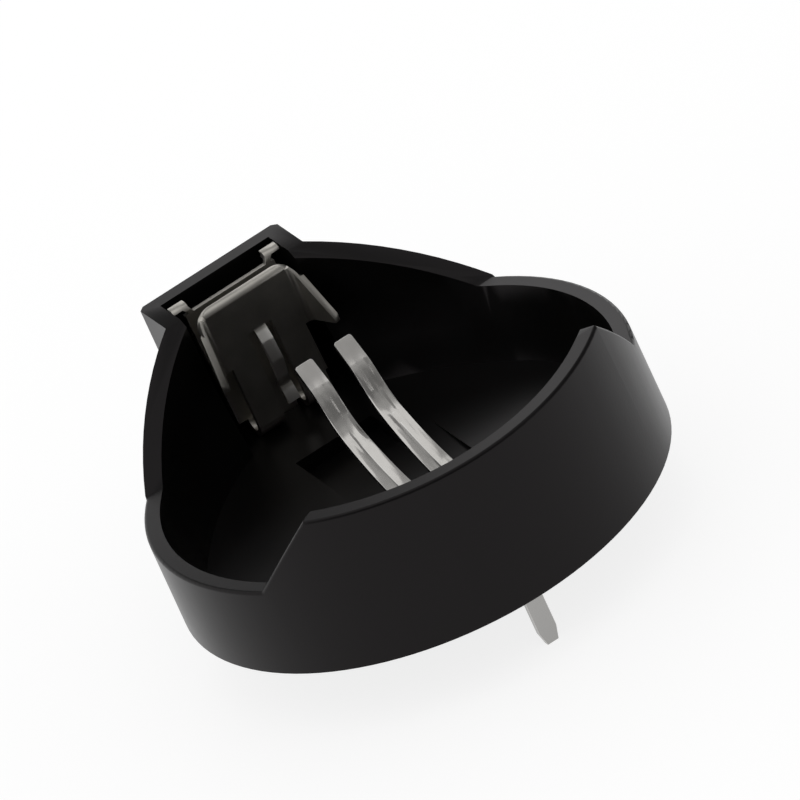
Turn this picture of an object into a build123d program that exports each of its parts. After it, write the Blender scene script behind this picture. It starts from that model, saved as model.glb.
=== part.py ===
"""Coin cell holder for a 20 mm cell: a moulded teardrop housing and two stamped spring contacts.

Millimetres. +Z is up and -Y is the front, the end with the raised wall. The origin is the centre
of the cell's seat, on the plane where the holder stands on its circuit board.
"""
import math
import os

from build123d import *

# ---- the coin cell that the holder takes ----
CELL_DIAMETER = 20.0
CELL_HEIGHT = 3.2
CELL_SIDE_ROOM = 0.3         # round the cell at the floor, on the radius
CELL_TOP_ROOM = 0.15         # between the cell's top and the catch above it

# ---- sheet metal of both contacts ----
SHEET = 0.3
PIN_WIDTH = 0.95
PIN_TIP_WIDTH = 0.6
PIN_TIP_LENGTH = 0.7
PIN_BELOW_HOLDER = 3.36      # how far the pins stand out under the board face
SLOT_ROOM = 0.05             # round a pin in the floor

# ---- housing: plan ----
WALL = 0.8                   # at the rim
WALL_FLARE = 0.9             # how much thicker the wall is at the floor than at the rim
FLOOR = 1.0
KINK_ANGLE = 36.0            # where the flanks leave the cell's circle, degrees behind the X axis
FLANK_RADIUS = 19.5          # outer face of the two flanks
POCKET_INSIDE_WIDTH = 6.0    # the square pocket behind, which holds the positive contact
POCKET_STANDOUT = 2.85       # how far the pocket stands out behind the flanks
POCKET_BACK_ROOM = 0.9       # between the top of the back plate and the pocket's back wall
POCKET_CORNER = 0.25         # chamfer on the pocket's outer corners

# ---- housing: rim, seen from the side ----
RIM_ABOVE_CELL = 0.4         # the low rim, over the cell's top
WALL_ABOVE_CELL = 4.0        # the raised front wall and the pocket
FRONT_WALL_DIP = 0.3         # fall of the front wall's top from its ends to the middle
FRONT_WALL_LEFT = 42.0       # where the wall's top ends, degrees round from the front
FRONT_WALL_RIGHT = 46.8
RAMP_RUN = 3.65              # length in plan of the ramp at each end
RAMP_TURN = 31.0             # degrees in plan between a ramp's run and the Y axis
RIM_ROUNDING = 0.17

# ---- housing: catch, tip recess and spring channel ----
CATCH_REACH = 1.8            # how far the catch stands in from the rim's inner face
CATCH_EDGE = 0.5             # height of its inner edge
CATCH_SLOPE = 1.8            # height of its sloping top
CATCH_SPAN = 64.0            # degrees round the front
TIP_RECESS_WIDTH = 4.2       # deep recess in the floor that the pressed finger tips dip into
TIP_RECESS_LENGTH = 2.9
TIP_RECESS_FRONT = 5.8       # behind the cell's centre
TIP_RECESS_FLOOR = 0.25      # plastic left under it
CHANNEL_WIDTH = 7.2          # shallow recess that the pressed fingers lie in
CHANNEL_FRONT = 8.0          # in front of the cell's centre
CHANNEL_BACK = 1.0           # behind it
CHANNEL_RUNOUT = 4.6         # from there its floor rises to nothing

# ---- positive contact ----
ARM_BEHIND_CELL = 2.0        # from the cell's edge to the sprung arm's face
ARM_OVER_WALL = 0.1          # its top, over the top of the pocket
ARM_WIDTH = 4.4              # flat part between the two hooks
ARM_CURL = 0.35              # outer radius of the rolled-back top edge
ARM_CORNER = 0.95
LEG_WIDTH = 3.96             # over the two legs below the hooks
FOOT_BEND = 0.75             # outer radius of the turn-up at the foot of the legs
BACK_PLATE_LEAN = 5.3        # degrees
BACK_PLATE_BELOW_WALL = 0.5  # its top, under the top of the pocket
BACK_PLATE_WIDTH = 4.92
HOOK_ANGLE = 71.0            # each hook is bent forward out of the arm's plane by this
HOOK_REACH = 1.5             # from the arm's face to the tip
HOOK_ABOVE_CELL = 0.8        # level lower edge
HOOK_TIP_HEIGHT = 0.2        # blunt end
HOOK_BEND = 0.3              # inner radius
EAR_START = 2.14             # from the centre line to its bent-back top
EAR_SIDE_ROOM = 0.06         # between an ear and the pocket's side
EAR_TOP = 0.2                # height of the part that has its full width
EAR_NECK_START = 1.98        # from the centre line, where the neck leaves the plate
EAR_NECK_WIDTH = 0.26
EAR_NECK_SLANT = 0.22        # the neck leans outwards by this
EAR_BEND = 0.1               # inner radius
EAR_LENGTH = 0.2             # flat top behind the bend
TONGUE_WIDTH = 0.6
TONGUE_ROOM = 0.36           # lanced gap on each side
TONGUE_ROOT = 1.95           # over the cell's top
TONGUE_BEND = 0.45
TONGUE_POINTS = (            # shoulder, crest, heel and toe: in front of the arm, over the cell's top
    (0.3, 1.3),
    (0.45, 0.2),
    (-0.05, -1.2),
    (0.3, -2.1),
)

# ---- negative contact ----
PIN_IN_FROM_SEAT = 0.0       # from the seat's edge to the front pin's face
PIN_BEND = 0.2               # inner radius
BASE_WIDTH = 4.0
BASE_LENGTH = 1.4
FINGER_START_BEND = 1.0
FINGER_RISE = 15.6           # degrees, over the long straight run
FINGER_RUN = 7.1
FINGER_SWEEP_RADIUS = 12.0   # long gentle curve upwards
FINGER_SWEEP = 18.0          # degrees
FINGER_BEND_RADIUS = 2.7     # tighter curve near the tip
FINGER_BEND = 30.0           # degrees
FINGER_STEEP_RUN = 1.0
FINGER_RELAX_RADIUS = 1.4    # the tip bends back the other way
FINGER_RELAX = 20.0          # degrees
FINGER_TIP_RUN = 1.3
FINGER_GAP_ROOT = 0.74       # between the two fingers
FINGER_GAP_TIP = 1.24
FINGER_PAIR_ROOT = 3.5       # over the two fingers
FINGER_PAIR_TIP = 3.06
FINGER_CORNER = 0.15         # rounding of the tips
CREASE_WIDTH = 0.36          # pressed groove along the lower part of each finger
CREASE_DEPTH = 0.07

# ---- worked out ----
SEAT_RADIUS = CELL_DIAMETER / 2 + CELL_SIDE_ROOM
OUTER_RADIUS = SEAT_RADIUS + WALL_FLARE + WALL
CELL_TOP = FLOOR + CELL_HEIGHT
LOW_RIM = CELL_TOP + RIM_ABOVE_CELL
WALL_TOP = CELL_TOP + WALL_ABOVE_CELL
CHANNEL_FLOOR = FLOOR - SHEET
POCKET_HALF = POCKET_INSIDE_WIDTH / 2
ARM_FACE = CELL_DIAMETER / 2 + ARM_BEHIND_CELL
ARM_TOP = WALL_TOP + ARM_OVER_WALL
HOOK_LOW = CELL_TOP + HOOK_ABOVE_CELL
TONGUE_TOP = CELL_TOP + TONGUE_ROOT
BEND_CENTRE = ARM_FACE + FOOT_BEND
LEAN = math.radians(BACK_PLATE_LEAN)
BACK_PLATE_FOOT_Y = BEND_CENTRE + FOOT_BEND * math.cos(LEAN)        # its rear face
BACK_PLATE_FOOT_Z = FLOOR + FOOT_BEND - FOOT_BEND * math.sin(LEAN)
BACK_PLATE_TOP = WALL_TOP - BACK_PLATE_BELOW_WALL
BACK_PLATE_RISE = BACK_PLATE_TOP - BACK_PLATE_FOOT_Z
BACK_PLATE_TOP_Y = BACK_PLATE_FOOT_Y + BACK_PLATE_RISE * math.tan(LEAN)
POCKET_BACK = BACK_PLATE_TOP_Y + POCKET_BACK_ROOM                   # inner face
SHOULDER_X = POCKET_HALF + WALL
SHOULDER_Y = POCKET_BACK + WALL - POCKET_STANDOUT
KINK = (
    OUTER_RADIUS * math.cos(math.radians(KINK_ANGLE)),
    OUTER_RADIUS * math.sin(math.radians(KINK_ANGLE)),
)
FRONT_PIN_FACE = PIN_IN_FROM_SEAT - SEAT_RADIUS
CUT = 1.0                    # how far a cutter runs past the face that it opens
FAR = 3 * OUTER_RADIUS       # longer than the holder, for cutters


def unit(x, y):
    """The direction of (x, y), with length one."""
    length = math.hypot(x, y)
    return x / length, y / length


def flank_centre():
    """Centre of the right flank's arc, which runs from the kink to the pocket's shoulder."""
    half_x = (KINK[0] - SHOULDER_X) / 2
    half_y = (SHOULDER_Y - KINK[1]) / 2
    back = math.sqrt(FLANK_RADIUS**2 - half_x**2 - half_y**2)
    nx, ny = unit(half_y, half_x)
    return SHOULDER_X + half_x - nx * back, KINK[1] + half_y - ny * back


def flank_y(inset, x):
    """Y of the right flank, moved inwards by inset, at a given x."""
    cx, cy = flank_centre()
    return cy + math.sqrt((FLANK_RADIUS - inset) ** 2 - (x - cx) ** 2)


def inner_kink(inset):
    """The kink moved inwards by inset, square to both curves that meet there."""
    cx, cy = flank_centre()
    ax, ay = unit(*KINK)
    bx, by = unit(KINK[0] - cx, KINK[1] - cy)
    nx, ny = unit(ax + bx, ay + by)
    return KINK[0] - inset * nx, KINK[1] - inset * ny


def teardrop(inset, shoulder):
    """Plan of the housing without its pocket, moved inwards by inset and cut off at a shoulder."""
    kx, ky = inner_kink(inset)
    sy = flank_y(inset, shoulder)
    mx = (kx + shoulder) / 2
    my = flank_y(inset, mx)
    outline = Curve() + [
        ThreePointArc((-kx, ky), (0, inset - OUTER_RADIUS), (kx, ky)),
        ThreePointArc((kx, ky), (mx, my), (shoulder, sy)),
        Line((shoulder, sy), (-shoulder, sy)),
        ThreePointArc((-shoulder, sy), (-mx, my), (-kx, ky)),
    ]
    return make_face(outline)


def block(x, y, z):
    """A box from three (low, high) pairs."""
    middle = Pos(sum(x) / 2, sum(y) / 2, sum(z) / 2)
    return middle * Box(x[1] - x[0], y[1] - y[0], z[1] - z[0])


def both_sides(width):
    """The (low, high) pair of a width centred on the holder's middle plane."""
    return (-width / 2, width / 2)


def side_prism(points):
    """A cutter across the whole holder, drawn from the side as (y, z) points."""
    return extrude(Plane.YZ * make_face(Polyline(*points, close=True)), FAR, both=True)


# ---------------------------------------------------------------- housing
def housing_shell():
    """Outer body with the cavity and the pocket hollowed out, all at the height of the wall."""
    pocket_length = (SHOULDER_Y - CUT, POCKET_BACK + WALL)
    pocket = block(both_sides(2 * SHOULDER_X), pocket_length, (0, WALL_TOP))
    rear_corners = pocket.edges().filter_by(Axis.Z).group_by(Axis.Y)[-1]
    body = extrude(teardrop(0, SHOULDER_X), WALL_TOP) + chamfer(rear_corners, POCKET_CORNER)
    foot = teardrop(WALL + WALL_FLARE, POCKET_HALF)
    rim = teardrop(WALL, POCKET_HALF)
    seat = loft([Pos(0, 0, FLOOR) * foot, Pos(0, 0, LOW_RIM) * rim], ruled=True)
    above = extrude(Pos(0, 0, LOW_RIM) * rim, WALL_TOP + CUT - LOW_RIM)
    pocket_front = flank_y(WALL + WALL_FLARE, POCKET_HALF) - CUT
    pocket_height = (FLOOR, WALL_TOP + CUT)
    pocket_space = block(both_sides(POCKET_INSIDE_WIDTH), (pocket_front, POCKET_BACK), pocket_height)
    return body - seat - above - pocket_space


def wall_end(angle):
    """Cutter for the front wall's right-hand end: what stands over its ramp and the low rim."""
    ramp = side_prism([
        (0, WALL_TOP),
        (RAMP_RUN, LOW_RIM),
        (FAR, LOW_RIM),
        (FAR, WALL_TOP + CUT),
        (0, WALL_TOP + CUT),
    ])
    along = math.radians(angle)
    top_corner = Pos(OUTER_RADIUS * math.sin(along), -OUTER_RADIUS * math.cos(along), 0)
    right_front = block((0, FAR), (-FAR, 0), (0, WALL_TOP + CUT))
    return top_corner * Rot(0, 0, -RAMP_TURN) * ramp & right_front


def rim_cutters():
    """What is taken off the top: the front wall's dip and its two ends, the slope of the flanks."""
    dip_start = -OUTER_RADIUS * math.cos(math.radians(FRONT_WALL_RIGHT))
    dip_slope = FRONT_WALL_DIP / (OUTER_RADIUS + dip_start)
    dip = side_prism([
        (-OUTER_RADIUS - CUT, WALL_TOP + CUT),
        (-OUTER_RADIUS - CUT, WALL_TOP - FRONT_WALL_DIP - CUT * dip_slope),
        (dip_start, WALL_TOP),
        (dip_start, WALL_TOP + CUT),
    ])
    flanks = side_prism([
        (0, LOW_RIM),
        (KINK[1], LOW_RIM),
        (SHOULDER_Y, WALL_TOP),
        (SHOULDER_Y, WALL_TOP + CUT),
        (0, WALL_TOP + CUT),
    ])
    return [dip, flanks, wall_end(FRONT_WALL_RIGHT), mirror(wall_end(FRONT_WALL_LEFT), Plane.YZ)]


def catch():
    """Inward ledge on the front wall that the cell's edge is pushed under."""
    wall_face = OUTER_RADIUS - WALL
    edge = wall_face - CATCH_REACH
    underside = CELL_TOP + CELL_TOP_ROOM
    section = Polyline(
        (edge, underside),
        (wall_face + WALL / 2, underside),
        (wall_face + WALL / 2, underside + CATCH_EDGE + CATCH_SLOPE),
        (wall_face, underside + CATCH_EDGE + CATCH_SLOPE),
        (edge, underside + CATCH_EDGE),
        close=True,
    )
    ring = revolve(Plane.XZ * make_face(section), Axis.Z, CATCH_SPAN)
    return Rot(0, 0, -90 - CATCH_SPAN / 2) * ring


def channel():
    """Shallow recess for the pressed fingers, whose floor runs out towards the back."""
    over = FLOOR + SLOT_ROOM
    slope = (FLOOR - CHANNEL_FLOOR) / CHANNEL_RUNOUT
    section = Polyline(
        (-CHANNEL_FRONT, CHANNEL_FLOOR),
        (CHANNEL_BACK, CHANNEL_FLOOR),
        (CHANNEL_BACK + (over - CHANNEL_FLOOR) / slope, over),
        (-CHANNEL_FRONT, over),
        close=True,
    )
    return extrude(Plane.YZ * make_face(section), CHANNEL_WIDTH / 2, both=True)


def floor_cutters():
    """Tip recess, spring channel and the two pin slots."""
    through = (-CUT, FLOOR + SLOT_ROOM)
    recess = (CHANNEL_FLOOR, FLOOR + SLOT_ROOM)
    tip_width = both_sides(TIP_RECESS_WIDTH)
    tip_length = (TIP_RECESS_FRONT, TIP_RECESS_FRONT + TIP_RECESS_LENGTH)
    tip_depth = (TIP_RECESS_FLOOR, FLOOR + SLOT_ROOM)
    base_front = FRONT_PIN_FACE + PIN_BEND + SHEET - SLOT_ROOM
    slot = both_sides(PIN_WIDTH + 2 * SLOT_ROOM)
    front_slot = (FRONT_PIN_FACE - SLOT_ROOM, FRONT_PIN_FACE + SHEET + PIN_BEND + SLOT_ROOM)
    rear_slot = (BACK_PLATE_FOOT_Y - SHEET - SLOT_ROOM, BACK_PLATE_FOOT_Y + SLOT_ROOM)
    return [
        block(tip_width, tip_length, tip_depth),
        block(tip_width, (base_front, TIP_RECESS_FRONT), recess),
        channel(),
        block(slot, front_slot, through),
        block(slot, rear_slot, through),
    ]


def outer_rim_edges(shell):
    """Outer top edges of the front wall and of the low rim, round the cell's circle."""
    def on_outer_circle(point):
        return abs(math.hypot(point.X, point.Y) - OUTER_RADIUS) < RIM_ROUNDING / 10

    curved = shell.edges().filter_by(GeomType.LINE, reverse=True)
    outer = curved.filter_by(lambda edge: on_outer_circle(edge @ 0.5) and on_outer_circle(edge @ 0.3))
    return outer.filter_by(lambda edge: (edge @ 0.5).Z > LOW_RIM - RIM_ROUNDING / 10)


def housing():
    """The moulded body."""
    shell = housing_shell()
    for cutter in rim_cutters():
        shell = shell - cutter
    shell = fillet(outer_rim_edges(shell), RIM_ROUNDING)
    shell = shell + catch()
    for cutter in floor_cutters():
        shell = shell - cutter
    return shell


# ---------------------------------------------------------------- bent sheet
def bent_line(start, heading, steps):
    """One face of a bent strip. A step is a straight length, or a (radius, turn in degrees)."""
    here, angle, pieces = Vector(*start), heading, []
    for step in steps:
        if isinstance(step, tuple):
            radius, turn = step
            piece = JernArc(here, Vector(1, 0).rotate(Axis.Z, angle), radius, turn)
            angle += turn
        else:
            piece = PolarLine(here, step, angle)
        here = piece @ 1
        pieces.append(piece)
    return Curve() + pieces


def strip(line, side, width):
    """Sheet that follows a face line drawn from the side, centred across the holder."""
    section = make_face(offset(line, SHEET, side=side))
    return extrude(Plane.YZ * section, width / 2, both=True)


def narrow_tip(pin, y):
    """The pin with its end tapered on both sides; y is the middle of its thickness."""
    low = -PIN_BELOW_HOLDER
    high = low + PIN_TIP_LENGTH
    outline = Polyline(
        (PIN_WIDTH / 2, high),
        (PIN_TIP_WIDTH / 2, low),
        (PIN_TIP_WIDTH / 2, low - CUT),
        (PIN_WIDTH, low - CUT),
        (PIN_WIDTH, high),
        close=True,
    )
    wedge = Pos(0, y, 0) * extrude(Plane.XZ * make_face(outline), 2 * SHEET, both=True)
    return pin - wedge - mirror(wedge, Plane.YZ)


# ---------------------------------------------------------------- positive contact
def arm_and_back_plate():
    """The folded body: rolled top edge, arm, turn-up on the floor and leaning back plate."""
    line = bent_line(
        (ARM_FACE + ARM_CURL, ARM_TOP),
        180,
        [
            (ARM_CURL, 90),
            ARM_TOP - ARM_CURL - FLOOR - FOOT_BEND,
            (FOOT_BEND, 180 - BACK_PLATE_LEAN),
            BACK_PLATE_RISE / math.cos(LEAN),
        ],
    )
    body = strip(line, Side.LEFT, BACK_PLATE_WIDTH)
    in_arm = (ARM_FACE - CUT, BEND_CENTRE)
    arm_side = block((ARM_WIDTH / 2, FAR), in_arm, (0, ARM_TOP + CUT))
    leg_side = block((LEG_WIDTH / 2, FAR), in_arm, (0, HOOK_LOW))
    foot_side = block((LEG_WIDTH / 2, FAR), (ARM_FACE - CUT, POCKET_BACK), (0, FLOOR + FOOT_BEND))
    for cutter in (arm_side, leg_side, foot_side):
        body = body - cutter - mirror(cutter, Plane.YZ)
    return body


def hook():
    """The right-hand hook: bent forward from the arm's side, over the edge of the cell."""
    turn = math.radians(HOOK_ANGLE)
    run = (HOOK_REACH - HOOK_BEND * (1 - math.cos(turn))) / math.sin(turn)
    overlap = ARM_WIDTH / 4
    start = (ARM_WIDTH / 2 - overlap, ARM_FACE)
    line = bent_line(start, 0, [overlap, (HOOK_BEND, -HOOK_ANGLE), run])
    high = ARM_TOP - ARM_CURL
    section = make_face(offset(line, SHEET, side=Side.LEFT))
    plate = Pos(0, 0, HOOK_LOW) * extrude(section, high - HOOK_LOW)
    tip = (ARM_FACE - HOOK_REACH, HOOK_LOW + HOOK_TIP_HEIGHT)
    beyond = tip[0] - CUT
    slope = side_prism([
        (ARM_FACE, high),
        tip,
        (beyond, tip[1]),
        (beyond, high + CUT),
        (ARM_FACE, high + CUT),
    ])
    return plate - slope


def corner_cutter():
    """Rounds the arm's top right corner, seen from the front."""
    reach = ARM_WIDTH / 2 + HOOK_BEND + SHEET / 2
    centre = (reach - ARM_CORNER, ARM_TOP - ARM_CORNER)
    depth = (ARM_FACE - HOOK_BEND, BEND_CENTRE)
    corner = block((centre[0], reach + CUT), depth, (centre[1], ARM_TOP + CUT))
    rounding = Pos(centre[0], sum(depth) / 2, centre[1]) * Rot(90, 0, 0) * Cylinder(ARM_CORNER, FAR)
    return corner - rounding


def ear():
    """The right-hand ear: a slanting neck on the back plate's edge, with a wider top bent back."""
    stem = 2 * SHEET
    foot_z = WALL_TOP - SHEET - EAR_BEND - stem
    foot_y = BACK_PLATE_FOOT_Y + (foot_z - BACK_PLATE_FOOT_Z) * math.tan(LEAN)
    steps = [stem, (EAR_BEND, BACK_PLATE_LEAN - 90), EAR_LENGTH]
    line = bent_line((foot_y, foot_z), 90 - BACK_PLATE_LEAN, steps)
    section = make_face(offset(line, SHEET, side=Side.LEFT))
    end = POCKET_HALF - EAR_SIDE_ROOM
    neck_end = EAR_NECK_START + EAR_NECK_WIDTH
    shoulder = WALL_TOP - EAR_TOP
    outline = Polyline(
        (EAR_NECK_START, foot_z),
        (neck_end, foot_z),
        (neck_end, BACK_PLATE_TOP),
        (neck_end + EAR_NECK_SLANT, shoulder),
        (end, shoulder),
        (end, WALL_TOP + CUT),
        (EAR_START, WALL_TOP + CUT),
        (EAR_START, shoulder),
        (EAR_NECK_START, BACK_PLATE_TOP),
        close=True,
    )
    bent = extrude(Plane.YZ * section, FAR, both=True)
    return bent & extrude(Plane.XZ * make_face(outline), FAR, both=True)


def tongue():
    """Lanced tongue that stands a little in front of the arm, towards the cell's edge."""
    points = [(ARM_FACE - reach, CELL_TOP + height) for reach, height in TONGUE_POINTS]
    top = (ARM_FACE, TONGUE_TOP + 2 * TONGUE_BEND)
    line = FilletPolyline(top, (ARM_FACE, TONGUE_TOP), *points, radius=TONGUE_BEND)
    return strip(line, Side.LEFT, TONGUE_WIDTH)


def tongue_slots():
    """The opening in the arm that the tongue is lanced from, which runs on round the foot."""
    slot = both_sides(TONGUE_WIDTH + 2 * TONGUE_ROOM)
    in_arm = block(slot, (ARM_FACE - CUT, BEND_CENTRE), (0, TONGUE_TOP))
    in_foot = block(slot, (BEND_CENTRE, POCKET_BACK), (0, FLOOR + FOOT_BEND))
    return [in_arm, in_foot]


def rear_pin():
    """The pin, which runs straight down from the middle of the back plate."""
    stem = 2 * FOOT_BEND
    start = (BACK_PLATE_FOOT_Y + stem * math.sin(LEAN), BACK_PLATE_FOOT_Z + stem * math.cos(LEAN))
    steps = [stem, (SHEET, BACK_PLATE_LEAN)]
    knee = bent_line(start, 270 - BACK_PLATE_LEAN, steps) @ 1
    line = bent_line(start, 270 - BACK_PLATE_LEAN, steps + [knee.Y + PIN_BELOW_HOLDER])
    return narrow_tip(strip(line, Side.RIGHT, PIN_WIDTH), knee.X - SHEET / 2)


def positive_contact():
    """Stamped contact in the pocket: a sprung arm whose hooks and tongue face the cell's edge."""
    body = arm_and_back_plate()
    for cutter in tongue_slots():
        body = body - cutter
    for side in (hook() - corner_cutter(), ear()):
        body = body + side + mirror(side, Plane.YZ)
    corner = corner_cutter()
    body = body - corner - mirror(corner, Plane.YZ) + tongue()
    return body + rear_pin()


# ---------------------------------------------------------------- negative contact
def finger_steps():
    """The fingers' runs and bends, from the base to the tip."""
    return [
        (FINGER_START_BEND, FINGER_RISE),
        FINGER_RUN,
        (FINGER_SWEEP_RADIUS, FINGER_SWEEP),
        (FINGER_BEND_RADIUS, FINGER_BEND),
        FINGER_STEEP_RUN,
        (FINGER_RELAX_RADIUS, -FINGER_RELAX),
        FINGER_TIP_RUN,
    ]


def finger_plan(base_end, tip):
    """Plan of the base and the two tapering fingers, between two y values."""
    root = base_end + FINGER_START_BEND
    beyond = tip + CUT
    base = Polyline(
        (BASE_WIDTH / 2, FRONT_PIN_FACE), (BASE_WIDTH / 2, base_end), (FINGER_PAIR_ROOT / 2, root),
        (FINGER_PAIR_TIP / 2, beyond), (-FINGER_PAIR_TIP / 2, beyond), (-FINGER_PAIR_ROOT / 2, root),
        (-BASE_WIDTH / 2, base_end), (-BASE_WIDTH / 2, FRONT_PIN_FACE), close=True,
    )
    gap = Polyline(
        (FINGER_GAP_ROOT / 2, root), (FINGER_GAP_TIP / 2, beyond),
        (-FINGER_GAP_TIP / 2, beyond), (-FINGER_GAP_ROOT / 2, root), close=True,
    )
    gap_end = Pos(0, root) * Circle(FINGER_GAP_ROOT / 2)
    return make_face(base) - make_face(gap) - gap_end


def crease(base_end):
    """V-shaped cutter along a finger's upper face, from the base to the end of the gentle curve."""
    half = CREASE_WIDTH / 2
    path = Plane.YZ * bent_line((base_end, FLOOR), 0, finger_steps()[:3])
    corners = [(-2 * half, CREASE_DEPTH), (2 * half, CREASE_DEPTH), (0, -CREASE_DEPTH)]
    vee = make_face(Polyline(*corners, close=True))
    start = Plane(path @ 0, x_dir=(-1, 0, 0), z_dir=path % 0)
    return sweep(start * vee, path)


def negative_contact():
    """Stamped contact under the cell: a pin, a base on the floor and two long sprung fingers."""
    outer_bend = PIN_BEND + SHEET
    base_end = FRONT_PIN_FACE + BASE_LENGTH
    start = (FRONT_PIN_FACE, -PIN_BELOW_HOLDER)
    rise = PIN_BELOW_HOLDER + FLOOR - outer_bend
    line = bent_line(start, 90, [rise, (outer_bend, -90), BASE_LENGTH - outer_bend] + finger_steps())
    body = strip(line, Side.RIGHT, BASE_WIDTH)
    beside = (PIN_WIDTH / 2, BASE_WIDTH)
    bend_side = block(beside, (FRONT_PIN_FACE - CUT, FRONT_PIN_FACE + outer_bend), (-FAR, FLOOR + CUT))
    body = body - bend_side - mirror(bend_side, Plane.YZ)
    outline = extrude(finger_plan(base_end, (line @ 1).X), FAR, both=True)
    body = body & outline
    finger_middle = (FINGER_GAP_ROOT + FINGER_PAIR_ROOT) / 4
    groove = Pos(finger_middle, 0, 0) * crease(base_end)
    body = body - groove - mirror(groove, Plane.YZ)
    short = body.edges().filter_by(lambda edge: abs(edge.length - SHEET) < CUT / 100)
    body = fillet(short.filter_by(lambda edge: (edge @ 0.5).Y > (line @ 1).X - SHEET), FINGER_CORNER)
    return narrow_tip(body, FRONT_PIN_FACE + SHEET / 2)


def main():
    """Write one STEP file for each piece."""
    os.makedirs("parts", exist_ok=True)
    pieces = {
        "housing": housing(),
        "positive_contact": positive_contact(),
        "negative_contact": negative_contact(),
    }
    for name, piece in pieces.items():
        export_step(piece, f"parts/{name}.step")


if __name__ == "__main__":
    main()
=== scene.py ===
# %% [markdown]
# # A coin cell holder
# The real thing is a small black moulding for a circuit board, with two pieces of springy metal in
# it. A 20 mm coin cell is pushed under the ledge of the raised front wall and pressed down in front
# of the sprung contact in the square pocket behind. The CAD frame already holds the three pieces at
# their true size, so this lesson gives them their last edges, their finishes, light and a camera.

# %% The frame
import math

import bmesh
import bpy
from mathutils import Matrix, Vector


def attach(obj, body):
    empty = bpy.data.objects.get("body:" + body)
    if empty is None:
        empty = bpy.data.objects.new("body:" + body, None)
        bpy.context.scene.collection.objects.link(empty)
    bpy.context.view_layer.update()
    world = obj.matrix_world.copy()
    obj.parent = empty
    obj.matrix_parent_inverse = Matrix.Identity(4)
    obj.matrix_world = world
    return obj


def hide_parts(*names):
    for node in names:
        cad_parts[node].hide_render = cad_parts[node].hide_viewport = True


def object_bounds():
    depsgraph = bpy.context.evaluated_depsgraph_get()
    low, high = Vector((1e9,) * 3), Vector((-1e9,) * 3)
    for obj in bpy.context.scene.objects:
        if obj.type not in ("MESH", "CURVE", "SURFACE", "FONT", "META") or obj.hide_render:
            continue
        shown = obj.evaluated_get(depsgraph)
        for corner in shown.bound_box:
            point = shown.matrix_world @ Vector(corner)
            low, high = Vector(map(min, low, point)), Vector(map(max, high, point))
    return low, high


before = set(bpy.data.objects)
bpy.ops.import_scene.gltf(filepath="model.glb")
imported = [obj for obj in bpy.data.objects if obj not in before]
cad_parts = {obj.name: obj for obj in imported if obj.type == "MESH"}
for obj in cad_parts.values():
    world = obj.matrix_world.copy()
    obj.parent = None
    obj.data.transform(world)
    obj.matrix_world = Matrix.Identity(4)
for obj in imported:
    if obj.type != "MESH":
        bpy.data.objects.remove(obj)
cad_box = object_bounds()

MM = 0.001
BODY = "root"
scene = bpy.context.scene
low, high = cad_box
print("holder, mm:", [round((b - a) / MM, 2) for a, b in zip(low, high)])

# %% [markdown]
# ## Camera
# A product view from above and in front, turned about the line of sight so that the holder seems to
# lie on its side. Small parts are shot from far away with a long lens, which leaves no perspective
# to see, so an orthographic camera is the plain way to get that look. Its two axes in the picture
# are worked out from azimuth, elevation and roll, and the aim is given along those axes.

# %% Camera
AZIMUTH, ELEVATION, ROLL = (math.radians(degrees) for degrees in (-15.9, 28.5, 24.85))
PICTURE_WIDTH = 36.34 * MM
AIM_ACROSS, AIM_UP = -1.19 * MM, 5.20 * MM
CAMERA_DISTANCE = 0.4
NEAREST, FARTHEST = 0.01, 5

back = Vector((
    math.sin(AZIMUTH) * math.cos(ELEVATION),
    -math.cos(AZIMUTH) * math.cos(ELEVATION),
    math.sin(ELEVATION),
))
level = Vector((math.cos(AZIMUTH), math.sin(AZIMUTH), 0))
upright = back.cross(level)
across = math.cos(ROLL) * level - math.sin(ROLL) * upright
up = math.sin(ROLL) * level + math.cos(ROLL) * upright

camera = bpy.data.objects.new("camera", bpy.data.cameras.new("camera"))
scene.collection.objects.link(camera)
camera.data.type = "ORTHO"
camera.data.ortho_scale = PICTURE_WIDTH
camera.data.clip_start, camera.data.clip_end = NEAREST, FARTHEST
place = across * AIM_ACROSS + up * AIM_UP + back * CAMERA_DISTANCE
camera.matrix_world = Matrix.Translation(place) @ Matrix((across, up, back)).transposed().to_4x4()
scene.camera = camera
print("camera looks down by", round(math.degrees(ELEVATION), 1), "degrees")

# %% [markdown]
# ## Room
# Black plastic shows little colour of its own: what the eye sees is the room mirrored in it. So the
# room matters more than the lamps. Here it is a white studio. To the camera and in mirrors it is
# pure white, while as soft light it stays at a plain level, and a Light Path node tells the two
# cases apart.

# %% Shader helpers
def new_material(name):
    """A material with only a Principled shader and its output, and that shader."""
    material = bpy.data.materials.new(name)
    material.use_nodes = True
    return material, material.node_tree.nodes["Principled BSDF"]


def add_node(tree, kind, **settings):
    """A node with some of its properties set."""
    node = tree.nodes.new(kind)
    for key, value in settings.items():
        setattr(node, key, value)
    return node


def join(tree, source, target):
    """A wire between an output and an input socket."""
    tree.links.new(source, target)


def set_inputs(node, **values):
    """Constants on a node's sockets, with spaces in their names written as _."""
    for key, value in values.items():
        node.inputs[key.replace("_", " ")].default_value = value


def seen_white(tree):
    """1 for camera, mirrored and transmitted rays, 0 for soft light."""
    path = add_node(tree, "ShaderNodeLightPath")
    total = path.outputs["Is Camera Ray"]
    for output in ("Is Glossy Ray", "Is Transmission Ray"):
        more = add_node(tree, "ShaderNodeMath", operation="MAXIMUM")
        join(tree, total, more.inputs[0])
        join(tree, path.outputs[output], more.inputs[1])
        total = more.outputs[0]
    return total


# %% World
WHITE = (1, 1, 1, 1)
SOFT_LIGHT = 0.55

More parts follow.
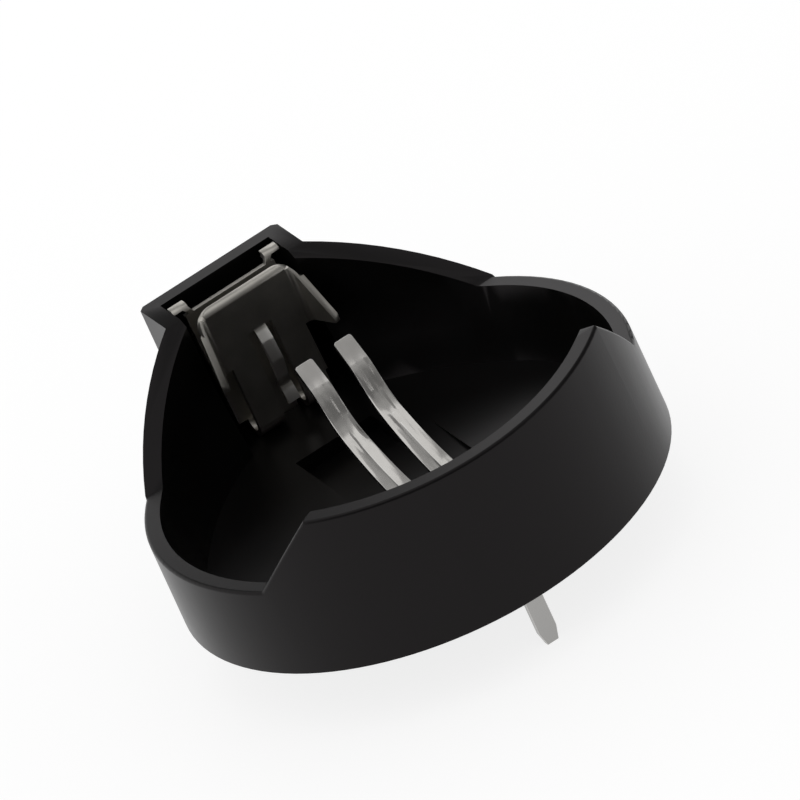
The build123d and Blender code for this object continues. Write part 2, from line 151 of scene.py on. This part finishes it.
world = bpy.data.worlds.new("studio")
scene.world = world
world.use_nodes = True
wires = world.node_tree
wires.nodes.clear()
soft = add_node(wires, "ShaderNodeBackground")
set_inputs(soft, Color=WHITE, Strength=SOFT_LIGHT)
white = add_node(wires, "ShaderNodeBackground")
set_inputs(white, Color=WHITE, Strength=1.0)
choose = add_node(wires, "ShaderNodeMixShader")
sky = add_node(wires, "ShaderNodeOutputWorld")
join(wires, seen_white(wires), choose.inputs[0])
join(wires, soft.outputs[0], choose.inputs[1])
join(wires, white.outputs[0], choose.inputs[2])
join(wires, choose.outputs[0], sky.inputs["Surface"])
scene.view_settings.view_transform = "Standard"
print("the room gives soft light of strength", SOFT_LIGHT)

# %% [markdown]
# ## Lamps
# The room's light is even, which leaves small forms flat. Two weak soft boxes give it a direction:
# one behind the holder, and a fainter one at its left. An area lamp shines along its own -Z axis,
# so that axis is turned towards the holder, which stands at the origin.

# %% Lamps
LAMPS = {
    # name: place and width in metres, and watts
    "back_soft_box": ((0.06, 0.18, 0.15), 0.10, 0.03),
    "left_soft_box": ((-0.30, -0.05, 0.12), 0.16, 0.01),
}

for name, (position, width, watts) in LAMPS.items():
    light = bpy.data.lights.new(name, "AREA")
    light.size = width
    light.energy = watts
    lamp = bpy.data.objects.new(name, light)
    scene.collection.objects.link(lamp)
    lamp.location = position
    lamp.rotation_euler = (-Vector(position)).to_track_quat("-Z", "Y").to_euler()
print("lamps:", ", ".join(LAMPS))

# %% [markdown]
# ## Grey cards
# In a room that is white all round, black plastic mirrors white everywhere and looks grey. A studio
# stands grey cards round a small glossy thing, to choose what each of its faces mirrors. Here each
# card is a flat sheet with a plain grey glow that only mirrored rays can see: it gives no light and
# no shade.

# %% Grey cards
CARDS = {
    # name: azimuth and elevation in degrees, distance, width and height in metres, and grey
    "front_card": (-10, 18, 0.26, 0.60, 0.19, 0.20),
    "front_high_card": (0, 42, 0.27, 0.60, 0.08, 0.34),
    "right_card": (85, 26, 0.30, 0.44, 0.34, 0.28),
    "back_right_card": (128, 30, 0.32, 0.20, 0.30, 0.12),
    "back_left_card": (191, 44, 0.056, 0.044, 0.025, 0.26),
    "back_right_high_card": (136, 56, 0.30, 0.20, 0.20, 0.42),
    "top_card": (0, 55, 0.30, 0.62, 0.18, 0.44),
}
print(len(CARDS), "grey cards")

# %% Card helpers
def towards(azimuth, elevation):
    """Unit vector from the holder: azimuth 0 is the front and 90 the right."""
    turn, lift = math.radians(azimuth), math.radians(elevation)
    return Vector((math.sin(turn) * math.cos(lift), -math.cos(turn) * math.cos(lift), math.sin(lift)))


def seen_in_mirrors_only(thing):
    """The thing shows in reflections, but neither to the camera nor as light or shadow."""
    thing.visible_camera = False
    thing.visible_diffuse = False
    thing.visible_shadow = False
    thing.visible_transmission = False


def card_paint(name, grey):
    """A plain glow of that grey."""
    paint, shader = new_material(name)
    wires = paint.node_tree
    wires.nodes.remove(shader)
    glow = add_node(wires, "ShaderNodeEmission")
    set_inputs(glow, Color=(grey, grey, grey, 1))
    join(wires, glow.outputs[0], wires.nodes["Material Output"].inputs["Surface"])
    return paint


# %% Cards round the holder
for name, (azimuth, elevation, distance, width, height, grey) in CARDS.items():
    sheet = bmesh.new()
    bmesh.ops.create_grid(sheet, x_segments=1, y_segments=1, size=0.5)
    bmesh.ops.scale(sheet, vec=(width, height, 1), verts=sheet.verts)
    away = towards(azimuth, elevation)
    turned = (-away).to_track_quat("-Z", "Y").to_matrix().to_4x4()
    bmesh.ops.transform(sheet, matrix=Matrix.Translation(away * distance) @ turned, verts=sheet.verts)
    mesh = bpy.data.meshes.new(name)
    sheet.to_mesh(mesh)
    sheet.free()
    mesh.materials.append(card_paint(name, grey))
    card = bpy.data.objects.new(name, mesh)
    scene.collection.objects.link(card)
    seen_in_mirrors_only(card)
    print(name, "at azimuth", azimuth, "and elevation", elevation)

# %% [markdown]
# ## Floor
# The floor has to be white and still carry the holder's soft shadow. More light would make it
# white, but would wash out the holder too. So a matt grey takes the light and the shadow, and a glow
# that only the camera and mirrors see is added to it. Seen from below the floor is clear, so that
# the underside can be looked at.

# %% Floor sheet
FLOOR_REACH = 1.2

sweep = bmesh.new()
bmesh.ops.create_grid(sweep, x_segments=1, y_segments=1, size=FLOOR_REACH)
bmesh.ops.translate(sweep, vec=(0, 0, low.z), verts=sweep.verts)
floor_mesh = bpy.data.meshes.new("studio_floor")
sweep.to_mesh(floor_mesh)
sweep.free()
floor = bpy.data.objects.new("studio_floor", floor_mesh)
scene.collection.objects.link(floor)
print("floor at", round(low.z / MM, 2), "mm, under the tips of the pins")

# %% Floor paint
FLOOR_GREY = 0.30
FLOOR_WHITE = 0.82

paper, shader = new_material("white_paper")
wires = paper.node_tree
wires.nodes.remove(shader)
matt = add_node(wires, "ShaderNodeBsdfDiffuse")
set_inputs(matt, Color=(FLOOR_GREY, FLOOR_GREY, FLOOR_GREY, 1))
glow = add_node(wires, "ShaderNodeEmission")
amount = add_node(wires, "ShaderNodeMath", operation="MULTIPLY")
amount.inputs[1].default_value = FLOOR_WHITE
join(wires, seen_white(wires), amount.inputs[0])
join(wires, amount.outputs[0], glow.inputs["Strength"])
both = add_node(wires, "ShaderNodeAddShader")
join(wires, matt.outputs[0], both.inputs[0])
join(wires, glow.outputs[0], both.inputs[1])
clear = add_node(wires, "ShaderNodeBsdfTransparent")
below = add_node(wires, "ShaderNodeNewGeometry")
side = add_node(wires, "ShaderNodeMixShader")
join(wires, below.outputs["Backfacing"], side.inputs[0])
join(wires, both.outputs[0], side.inputs[1])
join(wires, clear.outputs[0], side.inputs[2])
join(wires, side.outputs[0], wires.nodes["Material Output"].inputs["Surface"])
floor_mesh.materials.append(paper)
print("floor glow", FLOOR_WHITE, "over a matt grey of", FLOOR_GREY)

# %% [markdown]
# ## Rounded edges
# No real edge is a knife edge. A mould leaves just under a tenth of a millimetre on plastic and a
# press tool a few hundredths on sheet, and that is where small parts catch the light. CAD solids have
# sharp edges there, and a CAD node is left as it is, so each piece is a copy: its loose triangles are
# merged, flat areas become single faces, and a bevel breaks the edges. The new narrow faces are
# remembered in an attribute, so that a finish can treat an edge in its own way, and weighted normals
# keep the flat areas flat in the light. A touch-up function may move a few points of the copy before
# its edges are broken.

# %% Copies with broken edges
MERGE = 1e-7
FLAT_ANGLE = math.radians(0.1)
EDGE_ANGLE = math.radians(38)
SMOOTH_ANGLE = math.radians(32)
EDGE_SEGMENTS = 2


def shade_smooth(shape):
    """Smooth faces, with the shading broken where two of them meet at a clear angle."""
    for face in shape.faces:
        face.smooth = True
    for edge in shape.edges:
        edge.smooth = edge.calc_face_angle(0) < SMOOTH_ANGLE


def softened(node, name, width, touch_up=None):
    """A copy of a CAD node with its edges rounded by a bevel of that width."""
    shape = bmesh.new()
    shape.from_mesh(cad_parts[node].data)
    rounded = shape.faces.layers.float.new("rounded_edge")
    bmesh.ops.remove_doubles(shape, verts=shape.verts, dist=MERGE)
    if touch_up:
        touch_up(shape)
    bmesh.ops.dissolve_limit(
        shape, angle_limit=FLAT_ANGLE, verts=shape.verts, edges=shape.edges, use_dissolve_boundaries=False
    )
    sharp = [edge for edge in shape.edges if edge.calc_face_angle(0) > EDGE_ANGLE]
    bevelled = bmesh.ops.bevel(
        shape, geom=sharp, offset=width, offset_type="OFFSET", segments=EDGE_SEGMENTS, profile=0.5,
        affect="EDGES", clamp_overlap=True, material=-1,
    )
    for face in bevelled["faces"]:
        face[rounded] = 1.0
    shade_smooth(shape)
    mesh = bpy.data.meshes.new(name)
    shape.to_mesh(mesh)
    shape.free()
    piece = bpy.data.objects.new(name, mesh)
    scene.collection.objects.link(piece)
    flat_faces = piece.modifiers.new("flat_faces", "WEIGHTED_NORMAL")
    flat_faces.keep_sharp = True
    print(name, "has", len(sharp), "rounded edges and", len(mesh.polygons), "faces")
    return piece


def stand_in(piece, node, finish):
    """The piece is shown in place of its CAD node, with that finish."""
    piece.data.materials.clear()
    piece.data.materials.append(finish)
    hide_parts(node)
    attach(piece, BODY)


# %% [markdown]
# ## Shared surface effects
# Fine grain and rolling marks are used by more than one finish, so each is a node group, built once.
# A group gives out only heights and masks. The material decides what they do to its colour, its
# roughness and its bump, and its shader stays outside the group.

# %% Group helper
def new_group(name, inputs, outputs):
    """An empty node group with float sockets, and Vector for an input of that name."""
    group = bpy.data.node_groups.new(name, "ShaderNodeTree")
    for label, value in inputs.items():
        kind = "NodeSocketVector" if label == "Vector" else "NodeSocketFloat"
        socket = group.interface.new_socket(name=label, in_out="INPUT", socket_type=kind)
        if kind == "NodeSocketFloat":
            socket.default_value = value
    for label in outputs:
        group.interface.new_socket(name=label, in_out="OUTPUT", socket_type="NodeSocketFloat")
    print("group", name, "takes", ", ".join(inputs))
    return group, group.nodes.new("NodeGroupInput"), group.nodes.new("NodeGroupOutput")


# %% Fine grain
grain, given, result = new_group(
    "fine_grain", {"Vector": 0, "Per mm": 8.0, "Patch per mm": 0.4}, ["Height", "Patches"]
)
fine = add_node(grain, "ShaderNodeTexNoise")
set_inputs(fine, Detail=3.0, Roughness=0.6)
join(grain, given.outputs["Vector"], fine.inputs["Vector"])
join(grain, given.outputs["Per mm"], fine.inputs["Scale"])
patches = add_node(grain, "ShaderNodeTexNoise")
set_inputs(patches, Detail=4.0, Roughness=0.55)
join(grain, given.outputs["Vector"], patches.inputs["Vector"])
join(grain, given.outputs["Patch per mm"], patches.inputs["Scale"])
join(grain, fine.outputs["Fac"], result.inputs["Height"])
join(grain, patches.outputs["Fac"], result.inputs["Patches"])

# %% Rolling marks
rolling, given, result = new_group(
    "rolling_marks", {"Vector": 0, "Per mm": 12.0, "Stretch": 0.08, "Detail": 4.0}, ["Height"]
)
squeeze = add_node(rolling, "ShaderNodeVectorMath", operation="MULTIPLY")
sizes = add_node(rolling, "ShaderNodeCombineXYZ")
sizes.inputs["X"].default_value = 1.0
join(rolling, given.outputs["Stretch"], sizes.inputs["Y"])
join(rolling, given.outputs["Stretch"], sizes.inputs["Z"])
join(rolling, given.outputs["Vector"], squeeze.inputs[0])
join(rolling, sizes.outputs[0], squeeze.inputs[1])
lines = add_node(rolling, "ShaderNodeTexNoise")
set_inputs(lines, Roughness=0.7)
join(rolling, squeeze.outputs[0], lines.inputs["Vector"])
join(rolling, given.outputs["Per mm"], lines.inputs["Scale"])
join(rolling, given.outputs["Detail"], lines.inputs["Detail"])
join(rolling, lines.outputs["Fac"], result.inputs["Height"])

# %% [markdown]
# ## Tools for the finishes
# A material is a net of small sums. These helpers add one step of it each and give back the wire
# that carries the result, so that a finish reads like a few lines of arithmetic. Places are read in
# millimetres from Object coordinates, which stay with the piece when it moves.

# %% Places and groups
def in_millimetres(tree):
    """Object coordinates, with one unit to a millimetre."""
    place = add_node(tree, "ShaderNodeTexCoord")
    scaled = add_node(tree, "ShaderNodeMapping")
    set_inputs(scaled, Scale=(1 / MM, 1 / MM, 1 / MM))
    join(tree, place.outputs["Object"], scaled.inputs["Vector"])
    return scaled.outputs["Vector"]


def split_axes(tree, spot):
    """The outputs X, Y and Z of a place."""
    axes = add_node(tree, "ShaderNodeSeparateXYZ")
    join(tree, spot, axes.inputs[0])
    return axes.outputs


def place_group(tree, group, vector, **values):
    """A node group in a material, with its own values."""
    node = add_node(tree, "ShaderNodeGroup", node_tree=group)
    join(tree, vector, node.inputs["Vector"])
    set_inputs(node, **values)
    return node


def on_edges(tree):
    """1 on the narrow faces of the rounded edges."""
    return add_node(tree, "ShaderNodeAttribute", attribute_name="rounded_edge").outputs["Fac"]


# %% Sums
def calculate(tree, operation, *values):
    """A Math node over sockets and plain numbers."""
    node = add_node(tree, "ShaderNodeMath", operation=operation)
    for socket, value in zip(node.inputs, values):
        if isinstance(value, (int, float)):
            socket.default_value = value
        else:
            join(tree, value, socket)
    return node.outputs[0]


def between(tree, factor, low_value, high_value):
    """The factor from 0 to 1 becomes a number between two values."""
    ranged = add_node(tree, "ShaderNodeMapRange")
    set_inputs(ranged, To_Min=low_value, To_Max=high_value)
    join(tree, factor, ranged.inputs["Value"])
    return ranged.outputs["Result"]


def rising(tree, value, start, end):
    """A soft step from 0 at the start to 1 at the end, which may lie on either side of it."""
    ranged = add_node(tree, "ShaderNodeMapRange", interpolation_type="SMOOTHSTEP")
    set_inputs(ranged, From_Min=start, From_Max=end)
    join(tree, value, ranged.inputs["Value"])
    return ranged.outputs["Result"]


# %% Colours and bump
def tint(tree, factor, dark, light):
    """The factor from 0 to 1 becomes a colour between two colours."""
    ramp = add_node(tree, "ShaderNodeMix", data_type="RGBA")
    ramp.inputs["A"].default_value = (*dark, 1)
    ramp.inputs["B"].default_value = (*light, 1)
    join(tree, factor, ramp.inputs["Factor"])
    return ramp.outputs["Result"]


def blend(tree, factor, first, second):
    """The colour on the first wire becomes the second colour where the factor is 1."""
    mix = add_node(tree, "ShaderNodeMix", data_type="RGBA")
    join(tree, factor, mix.inputs["Factor"])
    join(tree, first, mix.inputs["A"])
    mix.inputs["B"].default_value = (*second, 1)
    return mix.outputs["Result"]


def add_bump(tree, height, target, distance, strength):
    """A bump of that height in millimetres, wired to a Normal socket."""
    bump = add_node(tree, "ShaderNodeBump")
    set_inputs(bump, Distance=distance * MM, Strength=strength)
    join(tree, height, bump.inputs["Height"])
    join(tree, bump.outputs["Normal"], target)


def wired_to(socket):
    """The output that feeds a socket."""
    return socket.links[0].from_socket


# %% [markdown]
# ## Black moulded plastic
# The housing is glass-filled nylon: black right through, with the satin skin of a spark-eroded
# mould. Nearly all of its light is a soft reflection, which grows towards the silhouettes. So the
# base colour is close to black, the roughness is middling, and a fine grain moves both a little. The
# reflection is weaker than the shader's default and a touch warm. Rounded edges are a little
# smoother, as handling leaves them.

# %% Housing finish
PLASTIC_BLACKS = ((0.0012, 0.0012, 0.0012), (0.0024, 0.0023, 0.0022))
PLASTIC_ROUGHNESS = (0.26, 0.34)
EDGE_SMOOTHER = -0.05
SKIN_SPECULAR = 0.192
SKIN_TINT = (1, 0.925, 0.95, 1)
GRAIN_DEPTH, GRAIN_STRENGTH = 0.02, 0.10

plastic, shader = new_material("satin_black_plastic")
wires = plastic.node_tree
skin = place_group(wires, grain, in_millimetres(wires), Per_mm=7.0, Patch_per_mm=0.35)
set_inputs(shader, Specular_IOR_Level=SKIN_SPECULAR, Specular_Tint=SKIN_TINT)
join(wires, tint(wires, skin.outputs["Patches"], *PLASTIC_BLACKS), shader.inputs["Base Color"])
satin = between(wires, skin.outputs["Patches"], *PLASTIC_ROUGHNESS)
satin = calculate(wires, "MULTIPLY_ADD", on_edges(wires), EDGE_SMOOTHER, satin)
join(wires, satin, shader.inputs["Roughness"])
add_bump(wires, skin.outputs["Height"], shader.inputs["Normal"], GRAIN_DEPTH, GRAIN_STRENGTH)
print("finish:", plastic.name)

# %% Housing
PLASTIC_EDGE = 0.06 * MM

housing = softened("housing", "moulded_housing", PLASTIC_EDGE)
stand_in(housing, "housing", plastic)

# %% [markdown]
# ## Plated spring metal
# Both contacts are stamped from spring strip and plated. The sheet keeps faint lines from the
# rolling mill, along its length, and the plating is a little cloudy. Metal has no colour but its
# reflections, so the base colour is a pale grey with a hint of warmth, and the lines go into its
# roughness and its bump. The rounded edges are painted a little brighter, a painted highlight along
# them. Below the board face the metal is given a duller grey.

# %% Plated metal
# Depths, and heights over the board face, are in millimetres.
PIN_STARTS = (0.2, -0.4)
PIN_GREY = (0.37, 0.365, 0.355)
EDGE_HIGHLIGHT_GREY = (0.70, 0.69, 0.67)
EDGE_HIGHLIGHT_SHARE = 0.5
CLOUD_SHARE = 0.5
MARK_DEPTH, MARK_STRENGTH = 0.004, 0.2


def plated(name, greys, roughness):
    """Plated metal with rolling marks and a cloudy plating, and its shader."""
    metal, shader = new_material(name)
    wires = metal.node_tree
    spot = in_millimetres(wires)
    marks = place_group(wires, rolling, spot, Per_mm=14.0, Stretch=0.06).outputs["Height"]
    cloud = place_group(wires, grain, spot, Per_mm=9.0, Patch_per_mm=0.9).outputs["Patches"]
    set_inputs(shader, Metallic=1.0)
    # Below the board face the base colour turns to a duller grey.
    on_pin = rising(wires, split_axes(wires, spot)["Z"], *PIN_STARTS)
    colour = blend(wires, on_pin, tint(wires, cloud, *greys), PIN_GREY)
    # Painted highlight: the rounded edges get a brighter base colour.
    edge = calculate(wires, "MULTIPLY", on_edges(wires), EDGE_HIGHLIGHT_SHARE)
    join(wires, blend(wires, edge, colour, EDGE_HIGHLIGHT_GREY), shader.inputs["Base Color"])
    mixed = add_node(wires, "ShaderNodeMix", data_type="FLOAT")
    mixed.inputs["Factor"].default_value = CLOUD_SHARE
    join(wires, marks, mixed.inputs["A"])
    join(wires, cloud, mixed.inputs["B"])
    join(wires, between(wires, mixed.outputs["Result"], *roughness), shader.inputs["Roughness"])
    add_bump(wires, marks, shader.inputs["Normal"], MARK_DEPTH, MARK_STRENGTH)
    print("finish:", name)
    return metal, shader


# %% [markdown]
# The contact in the pocket is the duller of the two. Its tongue is painted a much brighter grey, a
# painted highlight for the light on its bends. The tongue needs no material of its own, as it is found
# by its place: it stands in front of the arm's face, near the middle.

# %% Pocket contact finish
POCKET_GREYS = ((0.36, 0.345, 0.315), (0.53, 0.51, 0.47))
POCKET_ROUGHNESS = (0.26, 0.48)
# Where the tongue's painted highlight begins and is full, in millimetres from the origin.
TONGUE_FRONT = (11.97, 11.90)
TONGUE_SIDE = (0.6, 0.4)
TONGUE_HIGHLIGHT_GREY = (0.88, 0.86, 0.82)

pocket_metal, shader = plated("plated_pocket_contact", POCKET_GREYS, POCKET_ROUGHNESS)
wires = pocket_metal.node_tree
axes = split_axes(wires, in_millimetres(wires))
# Painted highlight: where the tongue stands, the base colour turns to a bright grey.
in_front = rising(wires, axes["Y"], *TONGUE_FRONT)
in_middle = rising(wires, calculate(wires, "ABSOLUTE", axes["X"]), *TONGUE_SIDE)
painted_tongue_highlight = calculate(wires, "MULTIPLY", in_front, in_middle)
plain = wired_to(shader.inputs["Base Color"])
join(wires, blend(wires, painted_tongue_highlight, plain, TONGUE_HIGHLIGHT_GREY), shader.inputs["Base Color"])

# %% [markdown]
# The press that gave the fingers their groove and their bends also dished the strip on both sides of
# the groove and drew long shallow dents into it. Both are far too shallow for the mesh, but they are
# what makes a bright strip look like real metal, so they go into the fingers' bump. The dish is a
# wedge across each finger that fades out towards the bend, and the dents are strongest in the bend.

# %% Finger finish
# Places, heights and depths are in millimetres.
FINGER_GREYS = ((0.48, 0.465, 0.445), (0.62, 0.605, 0.58))
FINGER_ROUGHNESS = (0.14, 0.28)
FINGER_MIDDLE = 1.065
DISH_SLOPE = 0.10
DISH_FADES = (3.6, 5.0)
DENT_HEIGHT = 0.22
DENTS_GROW = (3.0, 4.6)
DENTS_FADE = (6.0, 7.2)
DENTS_ELSEWHERE = 0.2

finger_metal, shader = plated("plated_finger_contact", FINGER_GREYS, FINGER_ROUGHNESS)
wires = finger_metal.node_tree
spot = in_millimetres(wires)
axes = split_axes(wires, spot)
beside = calculate(wires, "SUBTRACT", calculate(wires, "ABSOLUTE", axes["X"]), FINGER_MIDDLE)
dish = calculate(wires, "MULTIPLY", calculate(wires, "ABSOLUTE", beside), DISH_SLOPE)
below_bend = calculate(wires, "SUBTRACT", 1.0, rising(wires, axes["Z"], *DISH_FADES))
dish = calculate(wires, "MULTIPLY", dish, below_bend)

grown, faded = (rising(wires, axes["Z"], *heights) for heights in (DENTS_GROW, DENTS_FADE))
in_bend = between(wires, calculate(wires, "SUBTRACT", grown, faded), DENTS_ELSEWHERE, 1.0)
dents = place_group(wires, rolling, spot, Per_mm=2.8, Stretch=0.16, Detail=0.5)
dent = calculate(wires, "MULTIPLY", dents.outputs["Height"], DENT_HEIGHT)
pressed = calculate(wires, "ADD", dish, calculate(wires, "MULTIPLY", dent, in_bend))
mark_bump = wired_to(shader.inputs["Normal"]).node
add_bump(wires, pressed, mark_bump.inputs["Normal"], distance=1.0, strength=1.0)

# %% [markdown]
# ## Groove ends
# The CAD groove ends in a small upright wall, which would catch a dark tick of shade. A pressed
# groove fades out instead, so the last point on the bottom of each groove is lifted to the surface,
# half-way between its neighbours on the two banks.

# %% Groove ends
GROOVE_MIDDLE = 1.06 * MM
ON_MIDDLE = 0.002 * MM
OFF_MIDDLE = 0.05 * MM
SAME_PLACE = 0.1 * MM
OVER_BASE = 2 * MM


def ease_grooves(shape):
    """The far end of each finger's groove rises to the surface."""
    for middle in (-GROOVE_MIDDLE, GROOVE_MIDDLE):
        on_fingers = [vert for vert in shape.verts if vert.co.z > OVER_BASE]
        bottom = [vert for vert in on_fingers if abs(vert.co.x - middle) < ON_MIDDLE]
        if not bottom:
            print("no groove at", round(middle / MM, 2), "mm")
            continue
        end = max(bottom, key=lambda vert: vert.co.y)
        near = [edge.other_vert(end) for edge in end.link_edges]
        near = [vert for vert in near if abs(vert.co.y - end.co.y) < SAME_PLACE]
        banks = [vert for vert in near if abs(vert.co.x - middle) > OFF_MIDDLE]
        if banks:
            end.co.z = sum(vert.co.z for vert in banks) / len(banks)
            end.co.y = sum(vert.co.y for vert in banks) / len(banks)
        print("groove end between", len(banks), "banks, mm:", [round(value / MM, 2) for value in end.co])


# %% [markdown]
# ## Contacts
# A press breaks the edges of thin sheet less than a mould rounds plastic, so their bevel is about
# half as wide as the housing's.

# %% Contacts
SHEET_EDGE = 0.035 * MM

positive = softened("positive_contact", "positive_spring", SHEET_EDGE)
stand_in(positive, "positive_contact", pocket_metal)
negative = softened("negative_contact", "negative_spring", SHEET_EDGE, ease_grooves)
stand_in(negative, "negative_contact", finger_metal)

# %% [markdown]
# ## Rolled corners
# The top edge of the pocket's contact is rolled back, and the roll runs on round both upper corners
# into the hooks. In sheet metal that is a doubly curved form, which CAD left open as a small notch.
# Two spins make it: the first turns the sheet's thickness into the quarter round of the roll, and
# the second takes that section round the corner. The other corner is its mirror image. The negative
# scale turns that one inside out, so the normals are worked out again. A spin of faces lists them in
# another order on each run, so they are sorted by their place, and the mesh comes out the same.

# %% Section of the roll
SHEET = 0.3 * MM
ARM_FACE, ARM_TOP = 12.0 * MM, 8.3 * MM
ROLL_RADIUS = 0.35 * MM
ROLL_STEPS = 8
CORNER_X = 1.7 * MM

roll = bmesh.new()
start_z = ARM_TOP - ROLL_RADIUS
front = roll.verts.new((CORNER_X, ARM_FACE, start_z))
rear = roll.verts.new((CORNER_X, ARM_FACE + SHEET, start_z))
thickness = roll.edges.new((front, rear))
bmesh.ops.spin(
    roll, geom=[front, rear, thickness], cent=(CORNER_X, ARM_FACE + ROLL_RADIUS, start_z), axis=(1, 0, 0),
    angle=math.radians(-90), steps=ROLL_STEPS, use_merge=False, use_duplicate=False,
)
print("section of the roll:", len(roll.faces), "faces")

# %% Both corners
CORNER_RADIUS = 0.95 * MM
CORNER_STEPS = 12
SORT_ALONG = (1, 10, 100)


def everything(shape):
    """All points, edges and faces of a bmesh in one list."""
    return shape.verts[:] + shape.edges[:] + shape.faces[:]


bmesh.ops.spin(
    roll, geom=everything(roll), cent=(CORNER_X, 0, ARM_TOP - CORNER_RADIUS), axis=(0, 1, 0),
    angle=math.radians(90), steps=CORNER_STEPS, use_merge=False, use_duplicate=False,
)
bmesh.ops.remove_doubles(roll, verts=roll.verts, dist=MERGE)
twin = bmesh.ops.duplicate(roll, geom=everything(roll))["geom"]
twin_points = [part for part in twin if isinstance(part, bmesh.types.BMVert)]
bmesh.ops.scale(roll, vec=(-1, 1, 1), verts=twin_points)
bmesh.ops.recalc_face_normals(roll, faces=roll.faces)
roll.faces.sort(key=lambda face: face.calc_center_median().dot(SORT_ALONG))
shade_smooth(roll)
print("both corners:", len(roll.faces), "faces")

# %% Rolled corners in place
roll_mesh = bpy.data.meshes.new("rolled_corners")
roll.to_mesh(roll_mesh)
roll.free()
roll_mesh.materials.append(pocket_metal)
rolled_corners = bpy.data.objects.new("rolled_corners", roll_mesh)
scene.collection.objects.link(rolled_corners)
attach(rolled_corners, BODY)
print(rolled_corners.name, "ride on", BODY)
